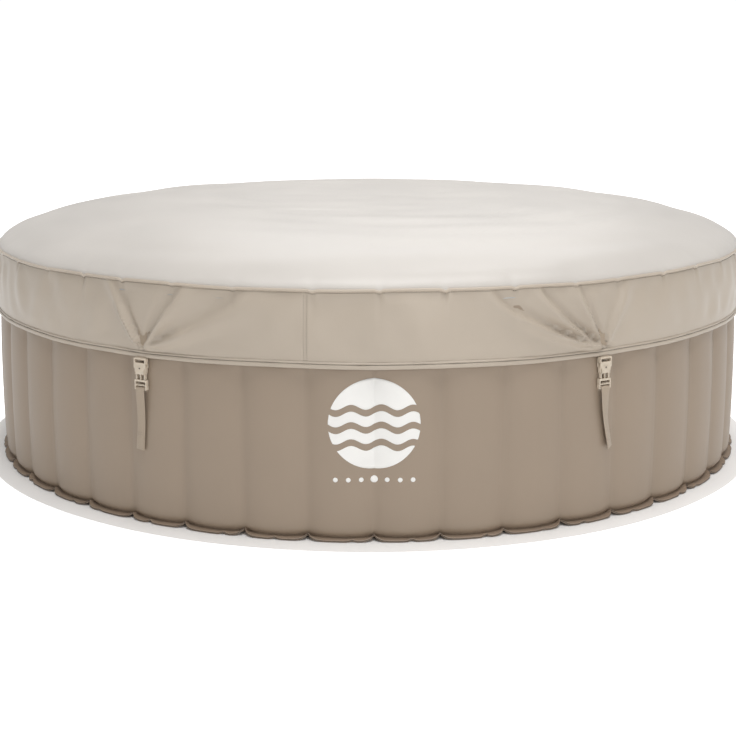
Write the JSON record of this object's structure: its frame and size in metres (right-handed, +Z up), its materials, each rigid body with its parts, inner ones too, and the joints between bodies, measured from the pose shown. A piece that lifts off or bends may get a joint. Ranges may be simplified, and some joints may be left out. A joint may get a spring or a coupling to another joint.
{
  "type": "inflatable hot tub",
  "caption": "Round inflatable hot tub with welded channel walls, a buckled domed cover, a ground mat and an external pump, filter and heater unit.",
  "frame": {"origin": "on the tub's axis, at the underside of the ground mat", "axes": "+Z up, -Y towards the front of the tub, +Y towards the pump unit"},
  "size_m": [2.1698, 2.5949, 0.681],
  "materials": {
    "mat_foam": "fine embossed pale sheet",
    "wall_pvc": "soft satin laminated PVC",
    "hem_pvc": "welded flange, satin",
    "rib_pvc": "clear satin",
    "inner_pvc": "soft satin laminated PVC",
    "cover_pvc": "leatherette PVC on polyester, soft satin",
    "lining_foil": "aluminised, semi-matt",
    "bladder_pvc": "satin",
    "webbing": "ribbed polyester webbing",
    "buckle_pom": "satin moulded acetal",
    "fitting_white": "moulded, satin gloss",
    "casing_plastic": "fine spark-eroded texture",
    "dark_plastic": "satin moulded",
    "display": "polished",
    "button_rubber": "matt silicone",
    "filter_paper": "pleated nonwoven",
    "seal_rubber": "matt",
    "heater_steel": "drawn tube",
    "zip_metal": "plated"
  },
  "bodies": {
    "tub": {"ground_mat": "mat_foam", "base_sheet": "hem_pvc", "bottom_hem": "hem_pvc", "outer_wall": "wall_pvc", "inner_wall": "inner_pvc", "rim_sheet": "wall_pvc", "tension_ribs": "rib_pvc", "inner_floor": "inner_pvc", "bubble_ring": "inner_pvc", "valve_body": "fitting_white", "drain_body": "fitting_white", "wall_ports": "casing_plastic", "port_seals": "seal_rubber", "wall_anchors": "webbing", "strap_tails": "webbing", "buckle_plugs": "buckle_pom", "unit_base": "dark_plastic", "unit_casing": "casing_plastic", "control_panel": "dark_plastic", "display_window": "display", "water_pump": "dark_plastic", "heater_tube": "heater_steel", "air_blower": "dark_plastic"},
    "cover": {"cover_top": "cover_pvc", "cover_piping": "cover_pvc", "cover_skirt": "cover_pvc", "cover_hem": "cover_pvc", "cover_lining": "lining_foil", "cover_bladder": "bladder_pvc", "cover_straps": "webbing", "buckle_sockets": "buckle_pom"},
    "zip_slider": {"zip_slider": "zip_metal"},
    "prong_1_right": {"prong_1_right": "buckle_pom"},
    "prong_1_left": {"prong_1_left": "buckle_pom"},
    "prong_2_right": {"prong_2_right": "buckle_pom"},
    "prong_2_left": {"prong_2_left": "buckle_pom"},
    "prong_3_right": {"prong_3_right": "buckle_pom"},
    "prong_3_left": {"prong_3_left": "buckle_pom"},
    "prong_4_right": {"prong_4_right": "buckle_pom"},
    "prong_4_left": {"prong_4_left": "buckle_pom"},
    "prong_5_right": {"prong_5_right": "buckle_pom"},
    "prong_5_left": {"prong_5_left": "buckle_pom"},
    "prong_6_right": {"prong_6_right": "buckle_pom"},
    "prong_6_left": {"prong_6_left": "buckle_pom"},
    "valve_cap": {"valve_cap": "fitting_white"},
    "drain_cap": {"drain_cap": "fitting_white"},
    "suction_grille": {"suction_grille": "fitting_white"},
    "return_grille": {"return_grille": "fitting_white"},
    "coupling_nut_1": {"coupling_nut_1": "dark_plastic"},
    "coupling_nut_2": {"coupling_nut_2": "dark_plastic"},
    "coupling_nut_3": {"coupling_nut_3": "dark_plastic"},
    "button_1": {"button_1": "button_rubber"},
    "button_2": {"button_2": "button_rubber"},
    "button_3": {"button_3": "button_rubber"},
    "button_4": {"button_4": "button_rubber"},
    "filter_carrier": {"filter_cartridge": "filter_paper"},
    "filter_cap": {"filter_cap": "dark_plastic"},
    "pump_impeller": {"pump_impeller": "fitting_white"},
    "blower_fan": {"blower_fan": "fitting_white"},
    "unit_handle": {"unit_handle": "dark_plastic"}
  },
  "joints": [
    {"name": "cover_lift", "type": "slide", "parent": "tub", "child": "cover", "axis": [0, 0, 1], "range_m": [0, 0.45]},
    {"name": "zip_run", "type": "hinge", "parent": "cover", "child": "zip_slider", "pos_m": [0, 0, 0.576], "axis": [0, 0, 1], "range_deg": [0, 60]},
    {"name": "squeeze_1_right", "type": "hinge", "parent": "tub", "child": "prong_1_right", "pos_m": [0.52803, -0.89257, 0.341], "axis": [0.5, -0.866, 0], "range_deg": [0, 8], "stiffness_Nm_per_rad": 0.02},
    {"name": "squeeze_1_left", "type": "hinge", "parent": "tub", "child": "prong_1_left", "pos_m": [0.50897, -0.90357, 0.341], "axis": [0.5, -0.866, 0], "range_deg": [-8, 0]},
    {"name": "squeeze_2_right", "type": "hinge", "parent": "tub", "child": "prong_2_right", "pos_m": [1.037, 0.011, 0.341], "axis": [1, 0, 0], "range_deg": [0, 8], "stiffness_Nm_per_rad": 0.02},
    {"name": "squeeze_2_left", "type": "hinge", "parent": "tub", "child": "prong_2_left", "pos_m": [1.037, -0.011, 0.341], "axis": [1, 0, 0], "range_deg": [-8, 0]},
    {"name": "squeeze_3_right", "type": "hinge", "parent": "tub", "child": "prong_3_right", "pos_m": [0.50897, 0.90357, 0.341], "axis": [0.5, 0.866, 0], "range_deg": [0, 8], "stiffness_Nm_per_rad": 0.02},
    {"name": "squeeze_3_left", "type": "hinge", "parent": "tub", "child": "prong_3_left", "pos_m": [0.52803, 0.89257, 0.341], "axis": [0.5, 0.866, 0], "range_deg": [-8, 0]},
    {"name": "squeeze_4_right", "type": "hinge", "parent": "tub", "child": "prong_4_right", "pos_m": [-0.52803, 0.89257, 0.341], "axis": [-0.5, 0.866, 0], "range_deg": [0, 8], "stiffness_Nm_per_rad": 0.02},
    {"name": "squeeze_4_left", "type": "hinge", "parent": "tub", "child": "prong_4_left", "pos_m": [-0.50897, 0.90357, 0.341], "axis": [-0.5, 0.866, 0], "range_deg": [-8, 0]},
    {"name": "squeeze_5_right", "type": "hinge", "parent": "tub", "child": "prong_5_right", "pos_m": [-1.037, -0.011, 0.341], "axis": [-1, 0, 0], "range_deg": [0, 8], "stiffness_Nm_per_rad": 0.02},
    {"name": "squeeze_5_left", "type": "hinge", "parent": "tub", "child": "prong_5_left", "pos_m": [-1.037, 0.011, 0.341], "axis": [-1, 0, 0], "range_deg": [-8, 0]},
    {"name": "squeeze_6_right", "type": "hinge", "parent": "tub", "child": "prong_6_right", "pos_m": [-0.50897, -0.90357, 0.341], "axis": [-0.5, -0.866, 0], "range_deg": [0, 8], "stiffness_Nm_per_rad": 0.02},
    {"name": "squeeze_6_left", "type": "hinge", "parent": "tub", "child": "prong_6_left", "pos_m": [-0.52803, -0.89257, 0.341], "axis": [-0.5, -0.866, 0], "range_deg": [-8, 0]},
    {"name": "valve_cap_hinge", "type": "hinge", "parent": "tub", "child": "valve_cap", "pos_m": [0.91235, 0.49818, 0.219], "axis": [0.4792, -0.8777, 0], "range_deg": [0, 100]},
    {"name": "drain_cap_hinge", "type": "hinge", "parent": "tub", "child": "drain_cap", "pos_m": [-0.93078, 0.50824, 0.0822], "axis": [0.4792, 0.8777, 0], "range_deg": [0, 100]},
    {"name": "suction_grille_twist", "type": "hinge", "parent": "tub", "child": "suction_grille", "pos_m": [-0.06, 0.77, 0.11], "axis": [0, 1, 0], "range_deg": [0, 30]},
    {"name": "return_grille_twist", "type": "hinge", "parent": "tub", "child": "return_grille", "pos_m": [0.06, 0.77, 0.11], "axis": [0, 1, 0], "range_deg": [0, 30]},
    {"name": "nut_1_turn", "type": "hinge", "parent": "tub", "child": "coupling_nut_1", "pos_m": [-0.06, 1.091, 0.11], "axis": [0, 1, 0], "continuous": true},
    {"name": "nut_2_turn", "type": "hinge", "parent": "tub", "child": "coupling_nut_2", "pos_m": [0.06, 1.091, 0.11], "axis": [0, 1, 0], "continuous": true},
    {"name": "nut_3_turn", "type": "hinge", "parent": "tub", "child": "coupling_nut_3", "pos_m": [0.06, 1.091, 0.27], "axis": [0, 1, 0], "continuous": true},
    {"name": "button_1_press", "type": "slide", "parent": "tub", "child": "button_1", "axis": [0, 0, -1], "range_m": [0, 0.0012], "stiffness_N_per_m": 150},
    {"name": "button_2_press", "type": "slide", "parent": "tub", "child": "button_2", "axis": [0, 0, -1], "range_m": [0, 0.0012], "stiffness_N_per_m": 150},
    {"name": "button_3_press", "type": "slide", "parent": "tub", "child": "button_3", "axis": [0, 0, -1], "range_m": [0, 0.0012], "stiffness_N_per_m": 150},
    {"name": "button_4_press", "type": "slide", "parent": "tub", "child": "button_4", "axis": [0, 0, -1], "range_m": [0, 0.0012], "stiffness_N_per_m": 150},
    {"name": "filter_lift", "type": "slide", "parent": "tub", "child": "filter_carrier", "axis": [0, 0, 1], "range_m": [0, 0.17]},
    {"name": "filter_cap_turn", "type": "hinge", "parent": "filter_carrier", "child": "filter_cap", "pos_m": [-0.082, 1.254, 0.435], "axis": [0, 0, 1], "range_deg": [0, 60]},
    {"name": "pump_spin", "type": "hinge", "parent": "tub", "child": "pump_impeller", "pos_m": [-0.06, 1.226, 0.11], "axis": [0, 1, 0], "continuous": true},
    {"name": "fan_spin", "type": "hinge", "parent": "tub", "child": "blower_fan", "pos_m": [0.09, 1.394, 0.18], "axis": [0, 0, 1], "continuous": true},
    {"name": "handle_fold", "type": "hinge", "parent": "tub", "child": "unit_handle", "pos_m": [0, 1.438, 0.443], "axis": [-1, 0, 0], "range_deg": [0, 110]}
  ],
  "couplings": [
    {"joint": "squeeze_1_left", "follows": "squeeze_1_right", "ratio": -1},
    {"joint": "squeeze_2_left", "follows": "squeeze_2_right", "ratio": -1},
    {"joint": "squeeze_3_left", "follows": "squeeze_3_right", "ratio": -1},
    {"joint": "squeeze_4_left", "follows": "squeeze_4_right", "ratio": -1},
    {"joint": "squeeze_5_left", "follows": "squeeze_5_right", "ratio": -1},
    {"joint": "squeeze_6_left", "follows": "squeeze_6_right", "ratio": -1}
  ]
}
